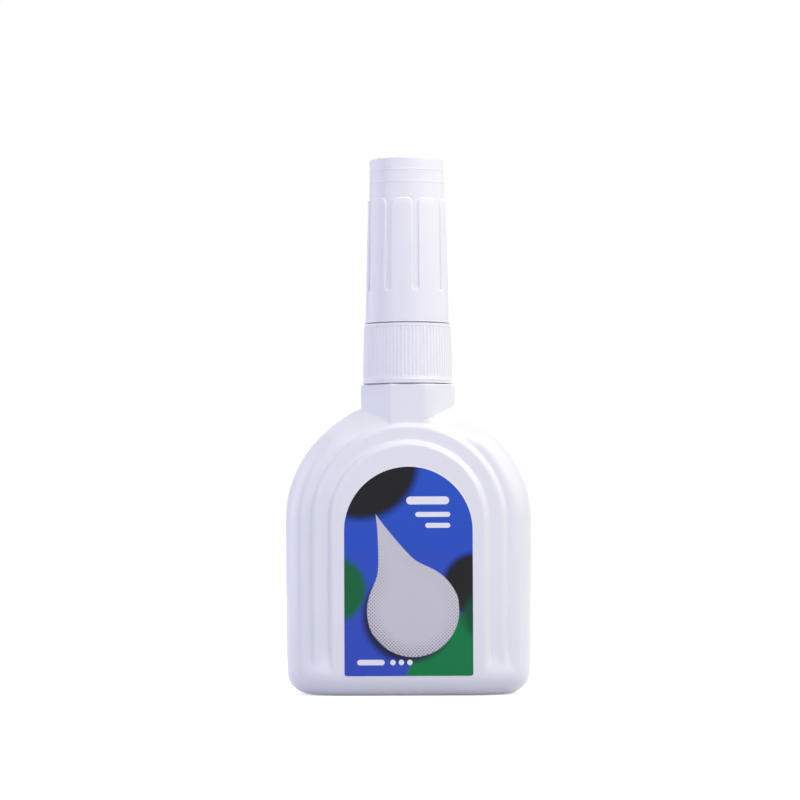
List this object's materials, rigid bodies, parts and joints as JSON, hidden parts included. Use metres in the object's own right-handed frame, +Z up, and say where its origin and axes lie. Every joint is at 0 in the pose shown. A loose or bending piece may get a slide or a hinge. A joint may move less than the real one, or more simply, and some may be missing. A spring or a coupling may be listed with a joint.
{
  "type": "correction fluid bottle",
  "caption": "Flat white squeeze bottle with stepped arch faces, a ribbed nozzle holder with a sprung metal tip, and a fluted pull-off cap.",
  "frame": {"origin": "middle of the base, on the surface that the bottle stands on", "axes": "+Z up along the bottle to the cap, -Y out of the label, +X to the right seen from the front"},
  "size_m": [0.05, 0.0217, 0.1089],
  "materials": {
    "bottle_plastic": "glossy blow-moulded polyethylene",
    "label_film": "printed film with fields of colour",
    "ball_steel": "polished steel ball",
    "white_fluid": "opaque white fluid",
    "seal_rubber": "smooth rubber",
    "holder_plastic": "glossy moulded polypropylene",
    "tip_steel": "turned stainless steel",
    "retainer_plastic": "natural acetal",
    "spring_steel": "drawn spring wire",
    "cap_plastic": "glossy moulded polypropylene",
    "pad_rubber": "soft pale pad"
  },
  "bodies": {
    "bottle": {"bottle_body": "bottle_plastic", "front_label": "label_film", "mixing_ball": "ball_steel", "correction_fluid": "white_fluid", "neck_gasket": "seal_rubber", "nozzle_holder": "holder_plastic", "tip_seal": "seal_rubber", "metal_tip": "tip_steel", "spring_retainer": "retainer_plastic", "valve_spring": "spring_steel"},
    "needle": {"valve_needle": "tip_steel"},
    "cap": {"cap": "cap_plastic", "cap_seal": "pad_rubber"}
  },
  "joints": [
    {"name": "cap_pull", "type": "slide", "parent": "bottle", "child": "cap", "axis": [0, 0, 1], "range_m": [0, 0.036]},
    {"name": "needle_press", "type": "slide", "parent": "bottle", "child": "needle", "axis": [0, 0, -1], "range_m": [0, 0.0007], "stiffness_N_per_m": 250, "springref_m": -0.0006, "deforming": ["valve_spring"]}
  ]
}
